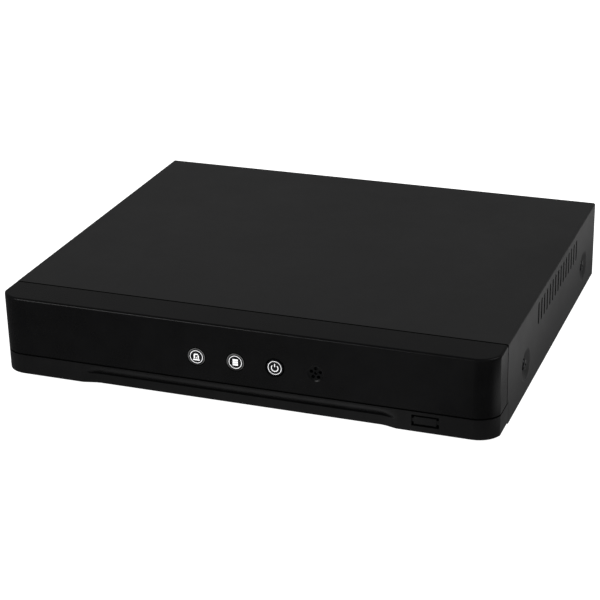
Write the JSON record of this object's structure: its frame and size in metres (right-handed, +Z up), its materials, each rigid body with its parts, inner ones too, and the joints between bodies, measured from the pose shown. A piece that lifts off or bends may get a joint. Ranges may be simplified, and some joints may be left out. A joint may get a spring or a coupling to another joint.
{
  "type": "digital video recorder",
  "caption": "Flat black desktop video recorder: steel cover with side vents and dished screws, round-cornered plastic front with lamps, a power button and a set-back lower band.",
  "frame": {"origin": "middle of the whole recorder's outline, sockets included, on the surface that the feet stand on", "axes": "+X to the right seen from the front, +Y to the rear, +Z up"},
  "size_m": [0.255, 0.2256, 0.0451],
  "materials": {
    "black_sheet": "satin black powder coat, finely textured",
    "zinc_sheet": "zinc-coated sheet steel, dull",
    "satin_black": "satin to semi-gloss black moulding",
    "band_black": "satin black moulding",
    "lens_black": "smoked lens with printed white rings and signs",
    "rubber": "matt black rubber",
    "black_steel": "black zinc plated steel",
    "plated_steel": "bright plated steel",
    "board_green": "green solder mask",
    "chip_black": "moulded epoxy",
    "aluminium": "extruded or machined, plain",
    "cast_aluminium": "die cast, dull",
    "mirror_metal": "mirror finish",
    "nickel": "nickel plated",
    "connector_white": "off-white moulding",
    "connector_black": "black moulding",
    "lamp_white": "translucent white lamp",
    "capacitor_sleeve": "dark blue heat-shrunk sleeve",
    "cable_red": "red jacket",
    "cable_black": "black sleeving",
    "cable_grey": "grey ribbon"
  },
  "bodies": {
    "case": {"top_cover": "black_sheet", "chassis_base": "zinc_sheet", "front_panel": "satin_black", "lower_band": "band_black", "alarm_indicator": "lens_black", "record_indicator": "lens_black", "cell_holder": "connector_black", "audio_sockets": "connector_black", "video_socket": "connector_black", "power_socket": "connector_black", "disk_plug": "connector_black", "data_plug": "connector_black", "power_switch": "chip_black", "buzzer": "chip_black", "main_chip": "chip_black", "memory_chip": "chip_black", "front_board": "board_green", "mainboard": "board_green", "disk_board": "board_green", "alarm_led": "lamp_white", "record_led": "lamp_white", "power_led": "lamp_white", "side_screw_1": "black_steel", "side_screw_2": "black_steel", "side_screw_3": "black_steel", "side_screw_4": "black_steel", "board_screw_1": "plated_steel", "board_screw_2": "plated_steel", "board_screw_3": "plated_steel", "board_screw_4": "plated_steel", "disk_screw_1": "plated_steel", "disk_screw_2": "plated_steel", "disk_screw_3": "plated_steel", "disk_screw_4": "plated_steel", "coin_cell": "plated_steel", "disk_lid": "plated_steel", "foot_1": "rubber", "foot_2": "rubber", "foot_3": "rubber", "foot_4": "rubber", "heat_sink": "aluminium", "capacitor_1": "capacitor_sleeve", "capacitor_2": "capacitor_sleeve", "bnc_socket_1": "nickel", "bnc_socket_2": "nickel", "bnc_socket_3": "nickel", "bnc_socket_4": "nickel", "hdmi_socket": "nickel", "usb_sockets": "nickel", "lan_socket": "nickel", "disk_base": "cast_aluminium", "data_cable": "cable_red", "power_cable": "cable_black", "front_cable": "cable_grey", "power_plug": "connector_white", "front_plug": "connector_white"},
    "button": {"power_button": "lens_black", "switch_plunger": "connector_black"},
    "platters": {"disk_platters": "mirror_metal"},
    "head_arm": {"disk_arm": "aluminium"}
  },
  "joints": [
    {"name": "power_press", "type": "slide", "parent": "case", "child": "button", "axis": [0, 1, 0], "range_m": [0, 0.0005], "stiffness_N_per_m": 2500},
    {"name": "platter_spin", "type": "hinge", "parent": "case", "child": "platters", "pos_m": [-0.066, -0.0342, 0.018], "axis": [0, 0, 1], "continuous": true},
    {"name": "head_swing", "type": "hinge", "parent": "case", "child": "head_arm", "pos_m": [-0.012, -0.057, 0.018], "axis": [0, 0, 1], "range_deg": [0, 37]}
  ]
}
